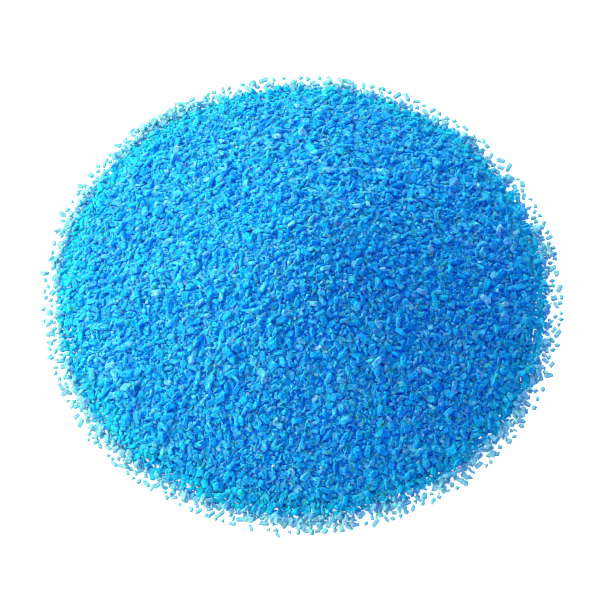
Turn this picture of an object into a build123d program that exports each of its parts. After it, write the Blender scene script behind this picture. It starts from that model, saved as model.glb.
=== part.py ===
from build123d import *
import math
import os
import random
from itertools import product

# A free-standing heap of loose blue crystals (copper sulphate crystal grade): a
# buried bed with separate crystals strewn over and around it.
# Millimetres, +Z up. The origin is the centre of the heap's footprint, on the
# plane the heap rests on; -Y is the front of the heap, +X its right.

# ------------------------------------------------------------------ dimensions
# heap and bed
HEAP_RADIUS = 50.0        # footprint radius of the close-packed heap
APEX_Z = 31.6             # height where the straight slopes would meet
SLOPE = 0.60              # rise over run of the flank: a 31 degree angle of repose
CROWN_ROUNDING = 10.0     # how broadly the crown is rounded off
BED_DEPTH_CROWN = 1.45    # the buried bed starts this far under the skin at the crown
BED_DEPTH_FOOT = 0.95     # and this far under it at the foot
BED_POINTS = 14           # points worked out along the bed's flank
BED_REACH = 1.02          # the last of them, as a share of HEAP_RADIUS
BED_LOWEST_POINT = 0.35   # points no higher than this give way to a straight foot

# how crystals rest
CONTACT_GAP = 0.03        # crystals stop this short of each other, and at the toe of the bed
BED_CLEARANCE = 0.09      # gap between the bed and the lowest corner of a crystal on it
BED_TOLERANCE = 0.004     # how closely that gap is met
LIFT_STEPS = 6            # most corrections made to meet it
FLOOR_CLEARANCE = 0.02    # crystals on the bed keep this far above the floor
SKIN_TILT = 26.0          # largest lean of a crystal on the slope, degrees
LEAN_RISE = 0.31          # Z part of the random direction a crystal leans by
TURN_RISE = 0.17          # Z part of the random direction a crystal is turned by
BREAK_SKEW = 0.35         # Y part of the normal of a broken end
TRIES = 90                # spots tried per crystal before a node is called full
CELL = 3.2                # cell size of the grid that finds neighbouring crystals
SEED = 7421

# zone limits, as distances of a crystal's centre from the heap's axis
CROWN_LIMIT = 15.0
UPPER_LIMIT = 31.5
LOWER_LIMIT = 49.2
TOE_START = 0.2           # from the bed's foot to the first toe crystals
TOE_LIMIT = 50.6
STRAY_RADIUS = 52.3       # outermost loose crystals reach about this far
STRAY_MARGIN = 0.6        # their centres stay this far inside it

# crystals per node
ZONE_AREA = 700.0         # footprint area the next three counts are for, square mm
COUNT_LARGE = 55          # prisms, and tablets
COUNT_CHIPS = 80
COUNT_PALE = 20
COUNT_FINES = 125         # fines, in each of their nodes
COUNT_TOE = 72            # crystals at the toe, in each quarter
COUNT_STRAY = 40          # crystals strayed past the toe, in each quarter

# angle ranges about the heap's axis, degrees from +X
FULL_TURN = (0.0, 360.0)
QUARTERS = {
    name: (middle - 45, middle + 45)
    for name, middle in (("front", -90.0), ("right", 0.0), ("back", 90.0), ("left", 180.0))
}

# skin zones: (radius range, angle range)
ZONES = {"crown": ((0.0, CROWN_LIMIT), FULL_TURN)}
for level, radii in (
    ("upper", (CROWN_LIMIT, UPPER_LIMIT)),
    ("lower", (UPPER_LIMIT, LOWER_LIMIT)),
):
    for quarter, angles in QUARTERS.items():
        ZONES[f"{level}_{quarter}"] = (radii, angles)

rng = random.Random(SEED)


# --------------------------------------------------------------- heap profile
def skin_z(radius):
    """Height of the heap's skin at a distance from the axis: a rounded cone."""
    return APEX_Z - math.sqrt(CROWN_ROUNDING**2 + (SLOPE * radius) ** 2)


def skin_normal(radius):
    """Outward (radial, up) unit normal of the skin."""
    rise = -(SLOPE**2) * radius / math.sqrt(CROWN_ROUNDING**2 + (SLOPE * radius) ** 2)
    length = math.hypot(rise, 1.0)
    return -rise / length, 1.0 / length


def bed_point(radius):
    """(radius, height) of the bed's surface, straight in from the skin at radius."""
    normal_out, normal_up = skin_normal(radius)
    footward = min(radius / HEAP_RADIUS, 1.0) ** 2
    depth = BED_DEPTH_CROWN + (BED_DEPTH_FOOT - BED_DEPTH_CROWN) * footward
    return radius - depth * normal_out, skin_z(radius) - depth * normal_up


def bed_outline():
    """(radius, height) points of the bed's surface, from the crown to the floor."""
    points = [
        bed_point(HEAP_RADIUS * BED_REACH * i / (BED_POINTS - 1)) for i in range(BED_POINTS)
    ]
    points = [point for point in points if point[1] > BED_LOWEST_POINT]
    # the foot lies straight down the slope from the last point kept
    last_radius, last_z = points[-1]
    normal_out, normal_up = skin_normal(last_radius)
    points.append((last_radius + normal_up * last_z / normal_out, 0.0))
    return points


BED_PROFILE = bed_outline()
BED_RADIUS = BED_PROFILE[-1][0]


def bed_height(radius):
    """Height of the bed at a distance from the axis, found by bisection."""
    low, high = 0.0, HEAP_RADIUS * 1.1
    for _ in range(40):
        middle = (low + high) / 2
        if bed_point(middle)[0] < radius:
            low = middle
        else:
            high = middle
    return bed_point((low + high) / 2)[1]


def bed_clearance(x, y, z):
    """Approximate signed distance of a point from the bed, positive outside it."""
    radius = math.hypot(x, y)
    if radius > BED_RADIUS + 2.0:
        return radius - BED_RADIUS
    return (z - bed_height(radius)) * skin_normal(min(radius, HEAP_RADIUS))[1]


# ------------------------------------------------------------- crystal blanks
# Outlines: corners as (x, y) fractions of a crystal's length and width.
BLADE = [(-0.50, -0.10), (-0.36, -0.48), (0.38, -0.50), (0.50, 0.06), (0.34, 0.50), (-0.40, 0.44)]
LATH = [(-0.50, -0.34), (0.30, -0.50), (0.50, -0.14), (0.44, 0.42), (-0.34, 0.50)]
SPLINTER = [(-0.50, -0.28), (0.12, -0.50), (0.50, -0.04), (0.06, 0.46), (-0.44, 0.40)]
RHOMB = [(-0.50, -0.50), (0.30, -0.50), (0.50, 0.50), (-0.30, 0.50)]
CUT_RHOMB = [
    (-0.50, -0.30), (-0.34, -0.50), (0.36, -0.46), (0.50, 0.36), (0.30, 0.50), (-0.36, 0.42),
]
BLOCK = [(-0.50, -0.38), (0.42, -0.50), (0.50, 0.34), (-0.38, 0.50)]
CHIP_FIVE_SIDED = [(-0.50, -0.22), (0.02, -0.50), (0.50, -0.12), (0.18, 0.50), (-0.40, 0.40)]
CHIP_TRIANGLE = [(-0.50, -0.40), (0.50, -0.28), (0.10, 0.50)]
CHIP_FOUR_SIDED = [(-0.46, -0.50), (0.34, -0.42), (0.50, 0.30), (-0.12, 0.50)]


def crystal(outline, length, width, thickness, taper, broken=None, one_way=False):
    """One cut of crystal, lying flat about its origin, as (part, size).

    Length runs along X, width along Y, thickness along Z. The walls slope both
    ways from the middle plane, or, one_way, from the base up. broken is (place
    along the length as a fraction, tilt in degrees) of a slanting broken end.
    """
    with BuildPart() as blank:
        with BuildSketch(Plane.XY.offset(-thickness / 2 if one_way else 0)):
            with BuildLine():
                Polyline(*[(x * length, y * width) for x, y in outline], close=True)
            make_face()
        if one_way:
            extrude(amount=thickness, taper=taper)
        else:
            extrude(amount=thickness / 2, both=True, taper=taper)
        if broken:
            place, tilt = broken[0], math.radians(broken[1])
            break_plane = Plane(
                origin=(place * length, 0, 0),
                z_dir=(math.cos(tilt), BREAK_SKEW, math.sin(tilt)),
            )
            split(bisect_by=break_plane, keep=Keep.BOTTOM)
    return blank.part, (length, width, thickness)


# outline, length, width, thickness, taper in degrees
PRISMS = [
    crystal(BLADE, 2.7, 1.20, 0.80, 16),
    crystal(LATH, 2.2, 0.95, 0.70, 14, broken=(0.40, 24)),
    crystal(BLADE, 1.9, 1.00, 0.72, 20),
    crystal(SPLINTER, 2.4, 0.90, 0.62, 14),
    crystal(LATH, 1.6, 0.80, 0.60, 16),
]
TABLETS = [
    crystal(RHOMB, 1.9, 1.45, 0.66, 22),
    crystal(CUT_RHOMB, 1.7, 1.30, 0.74, 18),
    crystal(BLOCK, 1.4, 1.15, 0.80, 14, broken=(0.36, -20)),
    crystal(CUT_RHOMB, 2.2, 1.60, 0.84, 20),
]
CHIPS = [
    crystal(CHIP_FIVE_SIDED, 1.30, 1.00, 0.52, 20, one_way=True),
    crystal(CHIP_TRIANGLE, 1.10, 0.95, 0.50, 16, one_way=True),
    crystal(CHIP_FOUR_SIDED, 1.20, 0.85, 0.56, 18, one_way=True),
    crystal(BLOCK, 1.00, 0.78, 0.54, 14, one_way=True),
]
FINES = [
    crystal(CHIP_FOUR_SIDED, 0.74, 0.56, 0.40, 14, one_way=True),
    crystal(BLOCK, 0.62, 0.50, 0.38, 12, one_way=True),
    crystal(SPLINTER, 0.85, 0.46, 0.34, 12, one_way=True),
]
# mixtures of the cuts above
PALE = [TABLETS[1], PRISMS[2], CHIPS[0], PRISMS[4]]
LOOSE = [PRISMS[2], PRISMS[4], TABLETS[2], *CHIPS, PRISMS[1]]


# -------------------------------------------------------------------- vectors
def dot(a, b):
    return sum(p * q for p, q in zip(a, b))


def cross(a, b):
    return (a[1] * b[2] - a[2] * b[1], a[2] * b[0] - a[0] * b[2], a[0] * b[1] - a[1] * b[0])


def unit(vector):
    length = math.sqrt(dot(vector, vector))
    return tuple(part / length for part in vector)


# ------------------------------------------------------------------ placement
# Crystals are kept apart by their oriented boxes: (centre, axes, half sizes).
placed = {}  # grid cell -> boxes of the crystals centred in it


def boxes_meet(box_a, box_b):
    """Separating-axis test of two oriented boxes."""
    centre_a, axes_a, half_a = box_a
    centre_b, axes_b, half_b = box_b
    offset = [b - a for a, b in zip(centre_a, centre_b)]
    shift = [dot(offset, axis) for axis in axes_a]
    cosines = [[dot(axis_a, axis_b) for axis_b in axes_b] for axis_a in axes_a]
    reach = [[abs(cosine) + 1e-9 for cosine in row] for row in cosines]
    # face normals of the first box, then of the second
    for i in range(3):
        if abs(shift[i]) > half_a[i] + dot(half_b, reach[i]):
            return False
    for j in range(3):
        apart = abs(sum(shift[i] * cosines[i][j] for i in range(3)))
        if apart > half_b[j] + sum(half_a[i] * reach[i][j] for i in range(3)):
            return False
    # cross products of an edge of each
    for i, j in product(range(3), repeat=2):
        i1, i2 = (i + 1) % 3, (i + 2) % 3
        j1, j2 = (j + 1) % 3, (j + 2) % 3
        reach_a = half_a[i1] * reach[i2][j] + half_a[i2] * reach[i1][j]
        reach_b = half_b[j1] * reach[i][j2] + half_b[j2] * reach[i][j1]
        if abs(shift[i2] * cosines[i1][j] - shift[i1] * cosines[i2][j]) > reach_a + reach_b:
            return False
    return True


def claim_space(box):
    """Record the box and return True, unless it meets a crystal placed so far."""
    cell = tuple(math.floor(part / CELL) for part in box[0])
    for step in product((-1, 0, 1), repeat=3):
        neighbour = tuple(c + s for c, s in zip(cell, step))
        if any(boxes_meet(box, other) for other in placed.get(neighbour, ())):
            return False
    placed.setdefault(cell, []).append(box)
    return True


def floor_centre(radius, angle, half_height, corners):
    """Centre of a crystal lying on the floor, or None where it would touch the bed."""
    centre = (radius * math.cos(angle), radius * math.sin(angle), half_height)
    for corner in corners:
        x, y = centre[0] + corner[0], centre[1] + corner[1]
        if (
            bed_clearance(x, y, 0.0) < CONTACT_GAP
            and math.hypot(x, y) < BED_RADIUS + CONTACT_GAP
        ):
            return None
    return centre


def bed_centre(radius, angle, half_height, corners, normal):
    """Centre of a crystal lifted clear of the bed, or None where it meets the floor."""
    bed_radius, bed_z = bed_point(radius)
    base = (bed_radius * math.cos(angle), bed_radius * math.sin(angle), bed_z)
    lift = half_height
    for _ in range(LIFT_STEPS):
        centre = tuple(base[k] + lift * normal[k] for k in range(3))
        lowest = min(
            bed_clearance(*(centre[k] + corner[k] for k in range(3))) for corner in corners
        )
        if abs(lowest - BED_CLEARANCE) < BED_TOLERANCE:
            break
        lift += BED_CLEARANCE - lowest
    if min(centre[2] + corner[2] for corner in corners) < FLOOR_CLEARANCE:
        return None
    return centre


def lay_crystal(size, radius, angle, flat):
    """Rest a crystal on the bed (or, flat, on the floor) at a polar position.
    Returns its Location, or None where it won't go."""
    normal_out, normal_up = (0.0, 1.0) if flat else skin_normal(radius)
    normal = (normal_out * math.cos(angle), normal_out * math.sin(angle), normal_up)
    up = normal
    if not flat:
        lean = math.radians(rng.uniform(0, SKIN_TILT))
        about = rng.uniform(0, 2 * math.pi)
        side = unit(cross(up, (math.cos(about), math.sin(about), LEAN_RISE)))
        up = unit(tuple(u * math.cos(lean) + s * math.sin(lean) for u, s in zip(up, side)))
    turn = rng.uniform(0, 2 * math.pi)
    along = unit(cross(up, (math.sin(turn), math.cos(turn), TURN_RISE)))
    across = cross(up, along)
    half = [extent / 2 for extent in size]
    corners = [
        tuple(
            x * half[0] * along[k] + y * half[1] * across[k] + z * half[2] * up[k]
            for k in range(3)
        )
        for x, y, z in product((-1, 1), repeat=3)
    ]
    if flat:
        centre = floor_centre(radius, angle, half[2], corners)
    else:
        centre = bed_centre(radius, angle, half[2], corners, normal)
    if centre is None:
        return None
    grown = tuple(extent + CONTACT_GAP / 2 for extent in half)
    if not claim_space((centre, (along, across, up), grown)):
        return None
    return Location(Plane(origin=centre, x_dir=along, z_dir=up))


def scatter(kinds, count, radii, angles, flat=False):
    """Lay up to count crystals, even per unit of footprint area, in one zone.
    Returns (part, its locations) for each of kinds."""
    spots = [[] for _ in kinds]
    laid = tries = 0
    while laid < count and tries < count * TRIES:
        tries += 1
        radius = math.sqrt(rng.uniform(radii[0] ** 2, radii[1] ** 2))
        angle = math.radians(rng.uniform(*angles))
        kind = rng.randrange(len(kinds))
        spot = lay_crystal(kinds[kind][1], radius, angle, flat)
        if spot is not None:
            spots[kind].append(spot)
            laid += 1
    return [(part, where) for (part, _), where in zip(kinds, spots)]


def zone_count(count, radii, angles):
    """Scale a count per ZONE_AREA to the area of a zone."""
    area = math.pi * (radii[1] ** 2 - radii[0] ** 2) * (angles[1] - angles[0]) / 360
    return round(count * area / ZONE_AREA)


def lay_all():
    """Scatter every node's crystals, by node name. The order matters: each
    crystal takes only space left by those before it, and fines fill in last."""
    nodes = {}
    for habit, kinds, count in (
        ("tablets", TABLETS, COUNT_LARGE),
        ("prisms", PRISMS, COUNT_LARGE),
        ("pale_crystals", PALE, COUNT_PALE),
        ("chips", CHIPS, COUNT_CHIPS),
    ):
        for zone, limits in ZONES.items():
            nodes[f"{habit}_{zone}"] = scatter(kinds, zone_count(count, *limits), *limits)
    for name, angles in QUARTERS.items():
        for habit, count, radii in (
            ("toe", COUNT_TOE, (BED_RADIUS + TOE_START, TOE_LIMIT)),
            ("stray", COUNT_STRAY, (TOE_LIMIT, STRAY_RADIUS - STRAY_MARGIN)),
        ):
            nodes[f"{habit}_crystals_{name}"] = scatter(LOOSE, count, radii, angles, flat=True)
    nodes["fines_crown"] = scatter(FINES, COUNT_FINES, *ZONES["crown"])
    for name, angles in QUARTERS.items():
        nodes[f"fines_{name}"] = scatter(FINES, COUNT_FINES, (CROWN_LIMIT, LOWER_LIMIT), angles)
    return nodes


# --------------------------------------------------------------------- pieces
def build_bed():
    """The crystals under the skin, close-packed, as one closed solid."""
    with BuildPart() as bed:
        with BuildSketch(Plane.XZ):
            with BuildLine():
                flank = Spline(*BED_PROFILE)
                Line(flank @ 1, (0, 0))
                Line((0, 0), flank @ 0)
            make_face()
        revolve(axis=Axis.Z)
    return bed.part


def build_crystals(laid_kinds):
    """One node's crystals, each a separate solid."""
    with BuildPart() as crystals:
        for blank, spots in laid_kinds:
            if spots:
                with Locations(*spots):
                    add(blank)
    return crystals.part


os.makedirs("parts", exist_ok=True)

packed_bed = build_bed()
packed_bed.label = "packed_bed"
export_step(packed_bed, "parts/packed_bed.step")

for node_name, laid_kinds in lay_all().items():
    node = build_crystals(laid_kinds)
    node.label = node_name
    export_step(node, f"parts/{node_name}.step", write_pcurves=False)
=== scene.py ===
"""A round heap of blue crystals on a white floor, seen obliquely from above.

The heap stands on z = 0 with its middle at the origin, and the camera looks from -y.
Crystals are laid one by one on a height map of the CAD pieces. Laying is worked out in
millimetres; meshes, lights, camera and shader distances are in metres.
"""

import math
import random

import bmesh
import bpy
import numpy as np
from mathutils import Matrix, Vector, noise


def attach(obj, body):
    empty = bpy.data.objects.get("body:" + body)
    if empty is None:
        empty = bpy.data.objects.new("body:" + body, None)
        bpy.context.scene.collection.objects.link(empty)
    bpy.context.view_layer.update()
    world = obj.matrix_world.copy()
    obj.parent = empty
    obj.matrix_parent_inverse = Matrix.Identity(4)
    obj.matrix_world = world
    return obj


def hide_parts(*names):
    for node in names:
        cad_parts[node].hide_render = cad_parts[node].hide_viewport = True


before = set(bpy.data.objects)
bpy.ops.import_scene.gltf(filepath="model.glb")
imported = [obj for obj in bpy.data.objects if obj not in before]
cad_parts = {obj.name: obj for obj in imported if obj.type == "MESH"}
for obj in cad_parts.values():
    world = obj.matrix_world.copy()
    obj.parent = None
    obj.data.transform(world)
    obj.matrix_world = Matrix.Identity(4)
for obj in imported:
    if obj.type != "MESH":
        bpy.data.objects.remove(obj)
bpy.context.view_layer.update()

MM = 0.001
SEED = 90210
rng = random.Random(SEED)
foot_rng = np.random.default_rng(SEED)   # places and kinds of the crystals at the foot
scene = bpy.context.scene
cad_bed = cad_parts["packed_bed"]
cad_crystals = {name: node for name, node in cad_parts.items() if name != "packed_bed"}


def mesh_points(mesh):
    """A mesh's vertices as an (n, 3) array, in millimetres."""
    points = np.zeros(len(mesh.vertices) * 3)
    mesh.vertices.foreach_get("co", points)
    return points.reshape(-1, 3) / MM


def lumps(x, y, scale, layer):
    """Smooth noise over x, y; each layer is a different field."""
    return noise.noise(Vector((x * scale, y * scale, layer)))


# ---------------------------------------------------------------- heap profile
PROFILE_STEPS = 160
PROFILE_REACH = 0.6      # bed points this near a step's radius count for it
PROFILE_DEGREE = 6


def bed_profile():
    """Radii and smoothed heights of the CAD bed's upper surface."""
    points = mesh_points(cad_bed.data)
    r, z = np.hypot(points[:, 0], points[:, 1]), points[:, 2]
    keep = (z > 1e-4) | (r > r.max() - 1e-3)     # drop the underside, keep the edge
    r, z = r[keep], z[keep]
    radii = np.linspace(0, r.max(), PROFILE_STEPS)
    heights = np.full(PROFILE_STEPS, np.nan)
    for k, radius in enumerate(radii):
        near = np.abs(r - radius) < PROFILE_REACH
        if near.any():
            heights[k] = z[near].max()
    known = ~np.isnan(heights)
    heights = np.interp(radii, radii[known], heights[known])
    heights = np.polyval(np.polyfit(radii, heights, PROFILE_DEGREE), radii)
    heights[-1] = 0.0
    return radii, heights


profile_radii, profile_heights = bed_profile()
BED_R = float(profile_radii[-1])


def bed_height(r):
    return np.interp(r, profile_radii, profile_heights, right=0.0)


# --------------------------------------------------------------- the height map
CELL = 0.1
HALF = 54.0              # the map reaches this far from the middle along x and y
CELLS = int(2 * HALF / CELL)
cell_centres = (np.arange(CELLS) + 0.5) * CELL - HALF
MAP_X, MAP_Y = np.meshgrid(cell_centres, cell_centres, indexing="ij")
map_r = np.hypot(MAP_X, MAP_Y)
height = np.where(map_r < BED_R, bed_height(map_r), 0.0)


def cell_at(x, y):
    return int((x + HALF) / CELL), int((y + HALF) / CELL)


def rasterise(triangles):
    """Raise the height map to the triangles given, an (n, 3, 3) array."""
    low = np.floor((triangles[:, :, :2].min(1) + HALF) / CELL).astype(int)
    high = np.floor((triangles[:, :, :2].max(1) + HALF) / CELL).astype(int) + 1
    low = np.clip(low, 0, CELLS - 1)
    high = np.clip(high, 1, CELLS)
    for (a, b, c), (x0, y0), (x1, y1) in zip(triangles, low, high):
        x, y = MAP_X[x0:x1, y0:y1], MAP_Y[x0:x1, y0:y1]
        area = (b[1] - c[1]) * (a[0] - c[0]) + (c[0] - b[0]) * (a[1] - c[1])
        if abs(area) < 1e-9:
            continue
        # barycentric weights of the three corners
        u = ((b[1] - c[1]) * (x - c[0]) + (c[0] - b[0]) * (y - c[1])) / area
        v = ((c[1] - a[1]) * (x - c[0]) + (a[0] - c[0]) * (y - c[1])) / area
        w = 1 - u - v
        inside = (u >= -0.01) & (v >= -0.01) & (w >= -0.01)
        z = u * a[2] + v * b[2] + w * c[2]
        patch = height[x0:x1, y0:y1]
        np.maximum(patch, np.where(inside, z, -1), out=patch)


def rasterise_upper_side(mesh):
    mesh.calc_loop_triangles()
    corners = np.zeros(len(mesh.loop_triangles) * 3, int)
    mesh.loop_triangles.foreach_get("vertices", corners)
    triangles = mesh_points(mesh)[corners.reshape(-1, 3)]
    normals = np.cross(triangles[:, 1] - triangles[:, 0], triangles[:, 2] - triangles[:, 0])
    rasterise(triangles[normals[:, 2] > 0])


for node in cad_crystals.values():
    rasterise_upper_side(node.data)

# ------------------------------------------------------------- crystal shapes
# Ranges are for a crystal of unit length. An outline is a list of (x, y) corners, with
# y still to be scaled by the width; a cut with no outlines gets a random polygon.
CUTS = {
    "prism": dict(width=(0.42, 0.60), thickness=(0.24, 0.36), slant=0.18, outlines=[
        [(-0.5, -0.1), (-0.37, -0.5), (0.38, -0.5), (0.5, 0.08), (0.35, 0.5), (-0.4, 0.45)],
        [(-0.5, -0.3), (-0.30, -0.5), (0.5, -0.42), (0.44, 0.1), (0.22, 0.5), (-0.46, 0.4)],
        [(-0.5, 0.1), (-0.2, -0.5), (0.46, -0.4), (0.5, 0.3), (-0.28, 0.5)]]),
    "tablet": dict(width=(0.58, 0.80), thickness=(0.24, 0.36), slant=0.22, outlines=[
        [(-0.5, -0.35), (-0.32, -0.5), (0.36, -0.46), (0.5, 0.36), (0.28, 0.5), (-0.38, 0.42)],
        [(-0.5, 0.0), (-0.22, -0.5), (0.5, -0.38), (0.40, 0.34), (-0.12, 0.5)],
        [(-0.44, -0.5), (0.3, -0.48), (0.5, 0.12), (0.18, 0.5), (-0.5, 0.28)]]),
    "splinter": dict(width=(0.34, 0.46), thickness=(0.22, 0.30), slant=0.3, outlines=[
        [(-0.5, -0.28), (0.12, -0.5), (0.5, -0.04), (0.06, 0.46), (-0.44, 0.4)]]),
    "chip": dict(width=(0.58, 0.90), thickness=(0.32, 0.52), slant=0.25, outlines=[]),
}
WORN = 0.075             # bevel of worn edges, as a share of the width


def random_polygon(draw):
    corners = draw.randint(4, 6)
    start = draw.uniform(0, 6.28)
    angles = [start + 6.283 * (i + draw.uniform(-0.28, 0.28)) / corners for i in range(corners)]
    return [(0.5 * math.cos(angle), 0.5 * math.sin(angle)) for angle in angles]


def crystal_points(draw, width, thickness, slant, outlines):
    """Three points per outline corner: at mid height, on top and underneath."""
    width, thickness, slant = draw.uniform(*width), draw.uniform(*thickness), draw.uniform(-slant, slant)
    if not outlines:
        outline = random_polygon(draw)
    elif len(outlines) == 1:     # a choice of one would still use up a random draw
        outline = outlines[0]
    else:
        outline = draw.choice(outlines)
    points = []
    for x, y in outline:
        x += draw.uniform(-0.05, 0.05)
        y += draw.uniform(-0.06, 0.06)
        top = draw.uniform(0.55, 0.9)
        low = draw.uniform(0.55, 0.9)
        points += [
            (x + slant * 0.1, y * width, thickness * 0.02),
            (x * top + slant * thickness, y * width * top, thickness / 2 + draw.uniform(-0.03, 0.03)),
            (x * low - slant * thickness, y * width * low, -thickness / 2 + draw.uniform(-0.03, 0.03)),
        ]
    return points, width


def crystal_shape(cut, seed, bevel):
    """A crystal of unit length as (vertices, triangles): length along x, width
    along y, thickness along z."""
    points, width = crystal_points(random.Random(seed), **CUTS[cut])
    bm = bmesh.new()
    for point in points:
        bm.verts.new(point)
    bmesh.ops.convex_hull(bm, input=bm.verts)
    inner = [vert for vert in bm.verts if not vert.link_faces]
    bmesh.ops.delete(bm, geom=inner, context="VERTS")
    bmesh.ops.dissolve_limit(bm, angle_limit=math.radians(9), verts=bm.verts, edges=bm.edges)
    if bevel:
        bmesh.ops.bevel(bm, geom=list(bm.edges), offset=bevel * min(width, 0.7),
                        offset_type="OFFSET", segments=1, profile=0.5, affect="EDGES",
                        clamp_overlap=True)
    bmesh.ops.remove_doubles(bm, verts=bm.verts, dist=0.004)
    bmesh.ops.triangulate(bm, faces=bm.faces)
    bmesh.ops.recalc_face_normals(bm, faces=bm.faces)
    verts = np.array([tuple(vert.co) for vert in bm.verts])
    bm.verts.index_update()
    faces = np.array([[vert.index for vert in face.verts] for face in bm.faces])
    bm.free()
    low, high = verts.min(0), verts.max(0)
    return (verts - (low + high) / 2) / (high[0] - low[0]), faces


# kind: (cut, first seed, number of shapes, bevel)
SHAPE_SETS = {
    "prism": ("prism", 100, 16, WORN),
    "tablet": ("tablet", 200, 16, WORN),
    "splinter": ("splinter", 300, 10, WORN),
    "chip": ("chip", 400, 24, 0.0),
    "fine": ("chip", 500, 14, 0.0),
}
SHAPES = {kind: [crystal_shape(cut, seed + i, bevel) for i in range(count)]
          for kind, (cut, seed, count, bevel) in SHAPE_SETS.items()}

# -------------------------------------------------------------- laying crystals
# kind: (shortest, longest)
HEAP_SIZES = {"chip": (0.75, 1.35), "fine": (0.48, 0.82), "tablet": (1.25, 2.3),
              "prism": (1.4, 2.6), "splinter": (1.3, 2.4)}
FOOT_SIZES = {"chip": (0.9, 1.5), "fine": (0.55, 0.9), "tablet": (1.2, 2.0),
              "splinter": (1.3, 2.0), "prism": (1.3, 2.1)}
STEEPEST = 1.1           # steepest slope a crystal lies along

placed = []              # (shape, centre, 3x3 axes as columns, length)


def resting_axes(x, y, patch, half_length, tilt):
    """Directions along, across and up from a crystal lying on the patch of the map."""
    disc = x * x + y * y <= (half_length * 0.8) ** 2 + 0.02
    slope_x = float((x * patch * disc).sum() / max((x * x * disc).sum(), 1e-6))
    slope_y = float((y * patch * disc).sum() / max((y * y * disc).sum(), 1e-6))
    slope = math.hypot(slope_x, slope_y)
    if slope > STEEPEST:
        slope_x, slope_y = slope_x * STEEPEST / slope, slope_y * STEEPEST / slope
    up = Vector((-slope_x, -slope_y, 1)).normalized()
    # lean a little from the plane of what is underneath, then turn
    about = rng.uniform(0, math.tau)
    side = up.cross(Vector((math.cos(about), math.sin(about), 0.21))).normalized()
    lean = abs(rng.gauss(0, tilt))
    up = (up * math.cos(lean) + side * math.sin(lean)).normalized()
    turn = rng.uniform(0, math.tau)
    along = up.cross(Vector((math.sin(turn), math.cos(turn), 0.13))).normalized()
    return along, up.cross(along), up


def lay(kind, sizes, x, y, tilt, press, grow=1.0):
    """Drop one crystal on the height map at x, y, and raise the map to its top.
    tilt is the spread of its lean; the lower press is, the deeper it sinks in."""
    shape = rng.choice(SHAPES[kind]) if False else SHAPES[kind][rng.randrange(len(SHAPES[kind]))]
    length = rng.uniform(*sizes[kind]) * grow
    verts = shape[0]
    half = (verts.max(0) * length - verts.min(0) * length) / 2
    reach = int(math.ceil((half[0] + 0.1) / CELL))
    i, j = cell_at(x, y)
    if not (reach < i < CELLS - reach - 1 and reach < j < CELLS - reach - 1):
        return
    window = np.s_[i - reach:i + reach + 1, j - reach:j + reach + 1]
    patch, dx, dy = height[window], MAP_X[window] - x, MAP_Y[window] - y
    along, across, up = resting_axes(dx, dy, patch, half[0], tilt)

    # cells under the crystal's ellipse
    rise = max(up.z, 0.35)
    dz = -(up.x * dx + up.y * dy) / rise
    p = dx * along.x + dy * along.y + dz * along.z
    q = dx * across.x + dy * across.y + dz * across.z
    ellipse = (p / half[0]) ** 2 + (q / half[1]) ** 2
    under = ellipse < 1.0
    if under.sum() < 3:
        under = ellipse < 1.6
        if not under.any():
            return
    dome = np.sqrt(np.clip(1 - ellipse * 0.75, 0.05, 1))
    bottom = dz - half[2] / rise * dome
    top = dz + half[2] / rise * dome
    z = float(np.quantile((patch - bottom)[under], press))
    axes = np.array([along, across, up]).T
    lowest = z + float((axes @ (verts * length).T)[2].min())
    if lowest < 0:
        z -= lowest
    np.maximum(patch, np.where(under, z + top, -1), out=patch)
    placed.append((shape, (x, y, z), axes, length))


def undulation(x, y):
    """Gentle lumps of the heap's skin."""
    return 0.30 * lumps(x, y, 0.10, 3.7) + 0.22 * lumps(x, y, 0.30, 9.1)


def ragged(angle):
    """How far the heap's foot strays from a circle at this angle."""
    x, y = math.cos(angle), math.sin(angle)
    return 0.8 * lumps(x, y, 2.2, 1.5) + 0.9 * lumps(x, y, 9, 4.5) + 0.7 * lumps(x, y, 24, 7.5)


def sweep(kinds, spacing, skin, beyond, tilt, press, grow=1.0):
    """Go over the heap once, spot by spot in a random order, and lay a crystal
    wherever the skin is thinner than wanted. The sweep ends at a ragged edge this
    far beyond the bed, and the skin thins out over its last few millimetres."""
    edge = BED_R + beyond
    n = int(edge / spacing) + 1
    spots = [(i * spacing, j * spacing) for i in range(-n, n + 1) for j in range(-n, n + 1)]
    rng.shuffle(spots)
    for x, y in spots:
        x += rng.uniform(-0.5, 0.5) * spacing
        y += rng.uniform(-0.5, 0.5) * spacing
        r = math.hypot(x, y)
        inward = edge + ragged(math.atan2(y, x)) - r
        if inward < 0 or (inward < 2.2 and rng.random() < 0.34):
            continue
        wanted = (skin + undulation(x, y)) * min(1.0, 0.25 + inward / 4)
        if height[cell_at(x, y)] - float(bed_height(r)) > wanted:
            continue
        lay(rng.choice(kinds), HEAP_SIZES, x, y, tilt, press, grow)


# fill the gaps between the CAD crystals, then a loose skin, then the fines in it
sweep(("chip", "chip", "tablet"), spacing=0.92, skin=0.30, beyond=0.4, tilt=0.25, press=0.65)
sweep(("chip", "chip", "tablet", "prism"),
      spacing=0.86, skin=0.62, beyond=0.6, tilt=0.25, press=0.55)
sweep(("tablet", "prism", "splinter", "chip"),
      spacing=1.1, skin=0.95, beyond=0.3, tilt=0.26, press=0.55)
sweep(("fine", "chip"), spacing=0.68, skin=0.85, beyond=0.8, tilt=0.40, press=0.60, grow=0.95)
sweep(("tablet", "chip", "splinter", "prism"),
      spacing=1.45, skin=1.35, beyond=0.0, tilt=0.24, press=0.55, grow=1.05)
sweep(("fine", "fine", "chip"),
      spacing=0.62, skin=0.98, beyond=1.2, tilt=0.45, press=0.60, grow=0.9)

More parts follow.
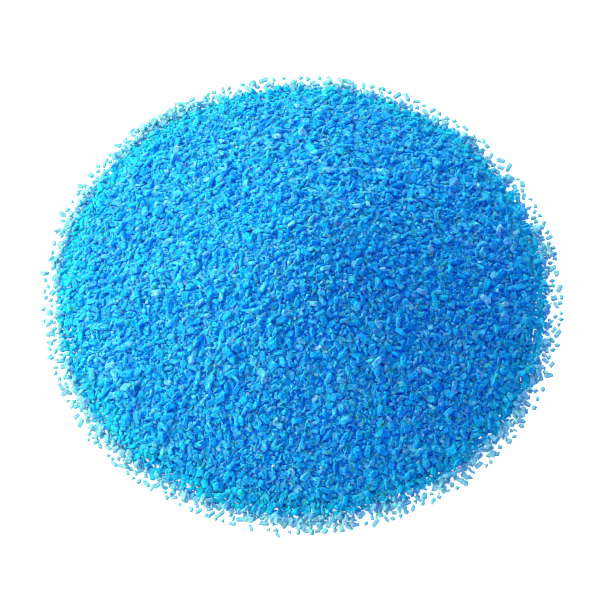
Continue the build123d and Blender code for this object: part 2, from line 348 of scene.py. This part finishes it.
FOOT_TRIES = 11000
FOOT_KINDS = ("chip", "fine", "chip", "tablet", "tablet", "splinter", "prism")
FOOT_IN, FOOT_OUT = 3.6, 2.4     # how far inside and outside the foot's edge they lie
FOOT_LIMIT = 52.5                # no crystal lies further out than this


def foot_has_room(i, j, out):
    """Inside the edge, where the heap is still low; outside it, only now and then
    on bare floor close to crystals already there."""
    if out < 0:
        return height[i, j] <= 1.0 - 0.13 * (out + FOOT_IN)
    nearby = height[i - 9:i + 10:3, j - 9:j + 10:3]
    return (height[i, j] <= 0.1 and (nearby > 0.2).sum() >= 3
            and rng.random() <= 0.30 * math.exp(-out / 0.9))


for _ in range(FOOT_TRIES):
    angle = foot_rng.uniform(0, math.tau)
    out = foot_rng.uniform(-FOOT_IN, FOOT_OUT)
    r = BED_R + 1.6 + 1.2 * ragged(angle) + out
    x, y = r * math.cos(angle), r * math.sin(angle)
    if r > FOOT_LIMIT or not foot_has_room(*cell_at(x, y), out):
        continue
    kind = FOOT_KINDS[int(foot_rng.integers(len(FOOT_KINDS)))]
    tilt, press = (0.28, 0.65) if out < -0.6 else (0.12, 0.85)
    lay(kind, FOOT_SIZES, x, y, tilt, press)


def buried(shape, centre, axes, length):
    """Whether a crystal is well under others at its middle, ends and sides."""
    verts = shape[0]
    width, top = verts[:, 1].max() - verts[:, 1].min(), verts[:, 2].max()
    for u, v in ((0, 0), (0.38, 0), (-0.38, 0), (0, 0.38), (0, -0.38)):
        x, y, z = axes @ (np.array([u, v * width, top]) * length) + np.array(centre)
        if height[cell_at(x, y)] < z + 0.42:
            return False
    return True


placed = [crystal for crystal in placed if not buried(*crystal)]


# -------------------------------------------------------------------- materials
class Shader:
    """Adds nodes to a node tree. A value may be a number, a tuple or a socket."""

    def __init__(self, tree):
        self.tree = tree

    def feed(self, socket, value):
        if isinstance(value, bpy.types.NodeSocket):
            self.tree.links.new(value, socket)
        elif value is not None:
            socket.default_value = value

    def node(self, kind, settings=None, **inputs):
        """Input names are written with _ for a space."""
        made = self.tree.nodes.new(kind)
        for key, value in (settings or {}).items():
            setattr(made, key, value)
        for key, value in inputs.items():
            self.feed(made.inputs[key.replace("_", " ")], value)
        return made

    def maths(self, operation, x, y=None, kind="ShaderNodeMath"):
        made = self.node(kind, {"operation": operation})
        self.feed(made.inputs[0], x)
        self.feed(made.inputs[1], y)
        return made.outputs[0]

    def dot(self, x, y):
        made = self.maths("DOT_PRODUCT", x, y, "ShaderNodeVectorMath").node
        return made.outputs["Value"]

    def span(self, value, low, high, to_low=0.0, to_high=1.0, shape="LINEAR"):
        """Map low..high onto to_low..to_high."""
        return self.node("ShaderNodeMapRange", {"interpolation_type": shape}, Value=value,
                         From_Min=low, From_Max=high, To_Min=to_low, To_Max=to_high).outputs[0]

    def blend(self, share, x, y):
        """Mix colour x with the given share of colour y."""
        made = self.node("ShaderNodeMix", {"data_type": "RGBA"})
        self.feed(made.inputs[0], share)
        for socket, colour in ((made.inputs[6], x), (made.inputs[7], y)):
            self.feed(socket, (*colour, 1) if isinstance(colour, tuple) else colour)
        return made.outputs[2]

    def ramp(self, value, stops):
        """Colour ramp; stops are (position, colour)."""
        made = self.node("ShaderNodeValToRGB", Fac=value)
        elements = made.color_ramp.elements
        elements.remove(elements[-1])
        elements[0].position, elements[0].color = stops[0][0], (*stops[0][1], 1)
        for position, colour in stops[1:]:
            elements.new(position).color = (*colour, 1)
        return made.outputs[0]


DEEP = (0.0, 0.27, 0.92)         # patches of deeper colour across the heap
FACET_DEEP = (0.0, 0.27, 0.94)   # the darkest growth facets
CHIPPED_AND_EDGE_HIGHLIGHT = (0.26, 0.80, 0.96)     # frosted, chipped edges, partly a painted edge highlight


def crystal_material(name, stops, painted_floor_light, painted_floor_light_amount, painted_floor_light_span=(0.0420, 0.0500),
                     frost=(0.025, 0.66, 0.98), dust=(0.52, 0.76, 0.90),
                     seam_highlight_colour=(0.06, 0.80, 1.0), edge_frost_and_highlight=0.85, translucent=True):
    """Blue crystal: a colour for each crystal from the stops, veils and growth streaks
    in the frost colour, frosted edges and bright seams that are partly a painted edge highlight,
    and painted light towards the heap's foot: a paler tint where the white floor would shine
    through the thin layer of crystals."""
    material = bpy.data.materials.new(name)
    material.use_nodes = True
    material.node_tree.nodes.clear()
    shader = Shader(material.node_tree)
    maths, span, blend = shader.maths, shader.span, shader.blend
    geometry = shader.node("ShaderNodeNewGeometry")
    place = shader.node("ShaderNodeTexCoord").outputs["Object"]
    chance = geometry.outputs["Random Per Island"]
    chance_2 = maths("FRACT", maths("MULTIPLY", chance, 37.7))
    colour = shader.ramp(chance, stops)

    # each crystal samples its own part of the textures
    jump = shader.node("ShaderNodeCombineXYZ", X=maths("MULTIPLY", chance, 0.31),
                       Y=maths("MULTIPLY", chance_2, 0.23), Z=maths("MULTIPLY", chance, 0.17))
    own_place = maths("ADD", place, jump.outputs[0], "ShaderNodeVectorMath")

    # cloudy veils
    veil = shader.node("ShaderNodeTexNoise", Vector=own_place, Scale=3300.0, Detail=2.0,
                       Roughness=0.65).outputs["Fac"]
    colour = blend(span(veil, 0.47, 0.55, to_high=0.85), colour, frost)

    # fine growth streaks
    streak = shader.node("ShaderNodeTexWave", Vector=own_place, Scale=900.0, Distortion=5.0,
                         Detail=2.0, Detail_Scale=2.0).outputs["Fac"]
    line = maths("MULTIPLY", span(streak, 0.72, 0.96, to_high=0.65), chance_2)
    colour = blend(line, colour, frost)

    # pale dust and bruises on some crystals only
    bruise = shader.node("ShaderNodeTexNoise", Vector=own_place, Scale=1500.0, Detail=3.0,
                         Roughness=0.7).outputs["Fac"]
    some = span(chance_2, 0.45, 1.0)
    colour = blend(maths("MULTIPLY", span(bruise, 0.50, 0.60, to_high=0.9), some), colour, dust)

    # patches a few millimetres across where the crystals are deeper in colour
    patch = shader.node("ShaderNodeTexNoise", Vector=place, Scale=240.0, Detail=2.0,
                        Roughness=0.6).outputs["Fac"]
    colour = blend(span(patch, 0.56, 0.40, to_high=0.40), colour, DEEP)

    # growth facets, each lighter or darker than the next, with bright seams between them that are partly
    # a painted edge highlight
    facet = shader.node("ShaderNodeTexVoronoi", Vector=own_place, Scale=1500.0)
    highlight_seam = shader.node("ShaderNodeTexVoronoi", {"feature": "DISTANCE_TO_EDGE"},
                       Vector=own_place, Scale=1500.0).outputs["Distance"]
    tone = shader.node("ShaderNodeSeparateColor")
    shader.feed(tone.inputs[0], facet.outputs["Color"])
    colour = blend(span(tone.outputs[0], 0.1, 1.0, to_low=0.60, to_high=0.0), colour, FACET_DEEP)
    colour = blend(span(highlight_seam, 0.075, 0.0, to_high=0.85), colour, seam_highlight_colour)

    # frosted edges, partly chipped frost and partly a painted edge highlight, where the rounded normal
    # departs from the true one
    if edge_frost_and_highlight:
        soft = shader.node("ShaderNodeBevel", {"samples": 4}, Radius=0.00018)
        facing = shader.dot(soft.outputs[0], geometry.outputs["Normal"])
        colour = blend(span(facing, 0.97, 0.80, to_high=edge_frost_and_highlight), colour, CHIPPED_AND_EDGE_HIGHLIGHT)

    # painted light towards the heap's foot, where the white floor would shine through the thin layer of
    # crystals; it grows with distance from the heap's middle
    x, y, _ = shader.node("ShaderNodeSeparateXYZ", Vector=place).outputs
    r = maths("SQRT", maths("ADD", maths("MULTIPLY", x, x), maths("MULTIPLY", y, y)))
    colour = blend(span(r, *painted_floor_light_span, to_high=painted_floor_light_amount, shape="SMOOTHSTEP"), colour, painted_floor_light)

    # tilted facets with a fine grain on them
    tilted = shader.node("ShaderNodeBump", Strength=0.7, Distance=0.0003,
                         Height=facet.outputs["Distance"])
    grain = shader.node("ShaderNodeBump", Strength=0.6, Distance=0.00005, Height=veil,
                        Normal=tilted.outputs[0])
    inside = dict(Subsurface_Weight=1.0, Subsurface_Radius=(0.05, 0.27, 0.48),
                  Subsurface_Scale=0.0015) if translucent else {}
    surface = shader.node("ShaderNodeBsdfPrincipled", Base_Color=colour,
                          Roughness=span(veil, 0.3, 0.7, to_low=0.2, to_high=0.4),
                          Normal=grain.outputs[0], IOR=1.53, Specular_IOR_Level=0.04, **inside)
    shader.node("ShaderNodeOutputMaterial", Surface=surface.outputs[0])
    return material


# each material's tint towards the heap's foot is painted light: the white floor shining through the thin
# layer of crystals there
crystal_blue = crystal_material(
    "crystal_blue",
    [(0.0, (0.0, 0.34, 0.99)), (0.30, (0.0, 0.43, 1.0)), (0.62, (0.0, 0.54, 1.0)),
     (0.83, (0.0, 0.63, 1.0)), (0.88, (0.04, 0.68, 0.99)), (0.92, (0.32, 0.77, 0.97)),
     (1.0, (0.80, 0.89, 0.97))],
    painted_floor_light=(0.02, 0.74, 0.96), painted_floor_light_amount=0.75)
crystal_pale = crystal_material(
    "crystal_pale",
    [(0.0, (0.12, 0.60, 0.94)), (0.5, (0.28, 0.70, 0.93)), (1.0, (0.54, 0.80, 0.94))],
    painted_floor_light=(0.15, 0.78, 0.94), painted_floor_light_amount=0.4)
# the loose crystals' paler colours are partly painted light, from the white floor shining through thin
# single crystals
crystal_loose = crystal_material(
    "crystal_loose",
    [(0.0, (0.0, 0.56, 0.95)), (0.5, (0.02, 0.67, 0.95)), (0.8, (0.08, 0.75, 0.95)),
     (1.0, (0.50, 0.83, 0.93))],
    painted_floor_light=(0.42, 0.79, 0.82), painted_floor_light_amount=0.92, painted_floor_light_span=(0.0475, 0.0508),
    frost=(0.30, 0.80, 0.91), dust=(0.56, 0.80, 0.88), seam_highlight_colour=(0.30, 0.84, 0.95),
    edge_frost_and_highlight=0.7)
bed_blue = crystal_material(
    "bed_blue", [(0.0, (0.0, 0.42, 0.98)), (1.0, (0.0, 0.50, 0.98))],
    painted_floor_light=(0.0, 0.74, 0.95), painted_floor_light_amount=0.85, frost=(0.0, 0.50, 0.96), dust=(0.0, 0.45, 0.96),
    seam_highlight_colour=(0.0, 0.55, 0.98), edge_frost_and_highlight=0.0, translucent=False)


# ---------------------------------------------------------------- CAD crystals
def finish_cad_crystal(name, node):
    """Keep a CAD crystal's place and shape; wear its edges with modifiers."""
    if name.startswith("pale_"):
        material = crystal_pale
    elif name.startswith(("toe_", "stray_")):
        material = crystal_loose
    else:
        material = crystal_blue
    node.data.materials.clear()
    node.data.materials.append(material)
    weld = node.modifiers.new("weld", "WELD")
    weld.merge_threshold = 2e-6
    wear = node.modifiers.new("wear", "BEVEL")
    wear.width = 0.00007
    wear.segments = 1
    wear.limit_method = "ANGLE"
    wear.angle_limit = math.radians(20)


for name, node in cad_crystals.items():
    finish_cad_crystal(name, node)

# ---------------------------------------------------------------- laid crystals
# rings from the middle out: (outer radius, number of sectors)
RINGS = [(12, 4), (22, 8), (31, 12), (38.5, 14), (44, 16), (48.4, 16), (60, 12)]


def group_by_sector(crystals):
    """Crystals keyed by (ring, sector); each group becomes one object."""
    groups = {}
    for crystal in crystals:
        x, y, _ = crystal[1]
        r, angle = math.hypot(x, y), math.atan2(y, x) % math.tau
        for ring, (outer, sectors) in enumerate(RINGS):
            if r < outer:
                sector = int(angle / math.tau * sectors) % sectors
                groups.setdefault((ring, sector), []).append(crystal)
                break
    return groups


def merge(crystals):
    """Vertices in metres and triangles of many crystals together."""
    all_verts, all_faces, count = [], [], 0
    for (verts, faces), centre, axes, length in crystals:
        all_verts.append((verts * length) @ axes.T + np.array(centre))
        all_faces.append(faces + count)
        count += len(verts)
    return np.vstack(all_verts) * MM, np.vstack(all_faces)


def link_object(name, mesh, material):
    mesh.materials.append(material)
    made = bpy.data.objects.new(name, mesh)
    scene.collection.objects.link(made)
    return made


def triangle_mesh(name, verts, faces):
    """A flat-shaded mesh from arrays of vertices and triangles."""
    mesh = bpy.data.meshes.new(name)
    mesh.vertices.add(len(verts))
    mesh.vertices.foreach_set("co", verts.astype(np.float32).ravel())
    mesh.loops.add(len(faces) * 3)
    mesh.loops.foreach_set("vertex_index", faces.astype(np.int32).ravel())
    mesh.polygons.add(len(faces))
    mesh.polygons.foreach_set("loop_start", np.arange(0, len(faces) * 3, 3, dtype=np.int32))
    mesh.polygons.foreach_set("loop_total", np.full(len(faces), 3, np.int32))
    mesh.polygons.foreach_set("use_smooth", np.zeros(len(faces), bool))
    mesh.update(calc_edges=True)
    mesh.validate()
    return mesh


for (ring, sector), crystals in sorted(group_by_sector(placed).items()):
    if ring == len(RINGS) - 1:
        prefix, material, slot = "loose", crystal_loose, "loose_crystal"
    else:
        prefix, material, slot = "skin", crystal_blue, "blue_crystal"
    name = f"{prefix}_crystals_{ring}_{sector:02d}"
    made = link_object(name, triangle_mesh(name, *merge(crystals)), material)
    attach(made, "root")

# -------------------------------------------------------------------- inner bed
BED_RINGS, BED_SEGMENTS = 200, 400
BED_INSET = 1.6          # its edge lies this far inside the CAD bed's
BED_RAISED = 0.62        # how far it stands above the CAD bed


def inner_bed_mesh():
    """A lumpy surface under the crystals, closed underneath."""
    verts = [(0.0, 0.0, float(bed_height(0.0) + BED_RAISED) * MM)]
    for k in range(1, BED_RINGS + 1):
        r = (BED_R - BED_INSET) * k / BED_RINGS
        # height falls to the floor over the last rings
        fall, fade = min(1.0, (BED_RINGS - k) / 5), min(1.0, (BED_RINGS - k) / 14)
        base = fall * float(bed_height(r))
        for s in range(BED_SEGMENTS):
            angle = math.tau * s / BED_SEGMENTS
            x, y = r * math.cos(angle), r * math.sin(angle)
            z = base + fade * (BED_RAISED + 0.22 * lumps(x, y, 0.8, 0.3)
                               + 0.12 * lumps(x, y, 2.1, 5.3))
            verts.append((x * MM, y * MM, max(z, 0.0) * MM))
    underneath = len(verts)
    verts.append((0, 0, 0))

    pairs = [(s, (s + 1) % BED_SEGMENTS) for s in range(BED_SEGMENTS)]
    faces = [(0, 1 + s, 1 + after) for s, after in pairs]
    for k in range(BED_RINGS - 1):
        first = 1 + k * BED_SEGMENTS
        outer = first + BED_SEGMENTS
        faces += [(first + s, outer + s, outer + after, first + after) for s, after in pairs]
    last = 1 + (BED_RINGS - 1) * BED_SEGMENTS
    faces += [(last + after, last + s, underneath) for s, after in pairs]

    mesh = bpy.data.meshes.new("inner_bed")
    mesh.from_pydata(verts, [], faces)
    mesh.validate()
    mesh.update()
    for polygon in mesh.polygons:
        polygon.use_smooth = True
    return mesh


bed = link_object("inner_bed", inner_bed_mesh(), bed_blue)
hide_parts("packed_bed")
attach(bed, "root")


# ------------------------------------------------------------------------ stage
def floor_material():
    """Matt white that glows a little to the camera only."""
    material = bpy.data.materials.new("floor")
    material.use_nodes = True
    shader = Shader(material.node_tree)
    surface = material.node_tree.nodes["Principled BSDF"].inputs
    to_camera = shader.node("ShaderNodeLightPath").outputs["Is Camera Ray"]
    for key, value in {
        "Base Color": (0.93, 0.93, 0.93, 1),
        "Roughness": 0.9,
        "Specular IOR Level": 0.0,
        "Emission Color": (1, 1, 1, 1),
        "Emission Strength": shader.maths("MULTIPLY", to_camera, 0.75),
    }.items():
        shader.feed(surface[key], value)
    return material


def make_floor():
    material = floor_material()
    bm = bmesh.new()
    bmesh.ops.create_grid(bm, x_segments=2, y_segments=2, size=3.0)
    mesh = bpy.data.meshes.new("floor")
    bm.to_mesh(mesh)
    bm.free()
    floor = link_object("floor", mesh, material)
    floor.location = (0, 0, -0.00002)    # just clear of the heap's underside


def light_world():
    """A room bright on its -x side; the camera sees plain white past the floor."""
    world = scene.world or bpy.data.worlds.new("world")
    scene.world = world
    world.use_nodes = True
    shader = Shader(world.node_tree)
    direction = shader.node("ShaderNodeTexCoord").outputs["Generated"]
    toward = shader.dot(direction, Vector((-0.85, 0.3, 0.15)).normalized())
    shaded_side, bright_side = (0.0, 0.083, 0.56), (2.45, 2.80, 2.02)
    room = shader.blend(shader.span(toward, -0.1, 1.0), shaded_side, bright_side)
    to_camera = shader.node("ShaderNodeLightPath").outputs["Is Camera Ray"]
    shown = shader.blend(to_camera, room, (1, 1, 1))
    shader.feed(world.node_tree.nodes["Background"].inputs[0], shown)


def aim(thing, target):
    thing.rotation_euler = (Vector(target) - thing.location).to_track_quat("-Z", "Y").to_euler()


def add_key_light():
    """A square soft light, high on the -x side and behind the heap."""
    light = bpy.data.lights.new("key", "AREA")
    light.shape = "RECTANGLE"
    light.size = light.size_y = 0.3
    light.energy = 1.6
    light.color = (1, 1, 1)
    key = bpy.data.objects.new("key", light)
    key.location = (-0.50, 0.34, 0.40)
    aim(key, (0, 0, 0.01))
    scene.collection.objects.link(key)


def add_camera():
    elevation = math.radians(61.3)
    distance = 1.3
    view_width = 0.1197          # width seen at the target
    target = Vector((-0.0005, 0.0003, 0.0))
    lens = bpy.data.cameras.new("camera")
    lens.sensor_width = 36.0
    lens.lens = 36.0 * distance / view_width
    lens.clip_start = 0.01
    camera = bpy.data.objects.new("camera", lens)
    camera.location = target + Vector((0, -math.cos(elevation), math.sin(elevation))) * distance
    aim(camera, target)
    scene.collection.objects.link(camera)
    scene.camera = camera


make_floor()
light_world()
add_key_light()
add_camera()

scene.view_settings.view_transform = "Standard"
scene.view_settings.look = "None"
cycles = scene.cycles
cycles.max_bounces = 16
cycles.diffuse_bounces = 10
cycles.glossy_bounces = 4
cycles.transmission_bounces = 8
cycles.caustics_reflective = False
cycles.caustics_refractive = True
cycles.filter_width = 0.7
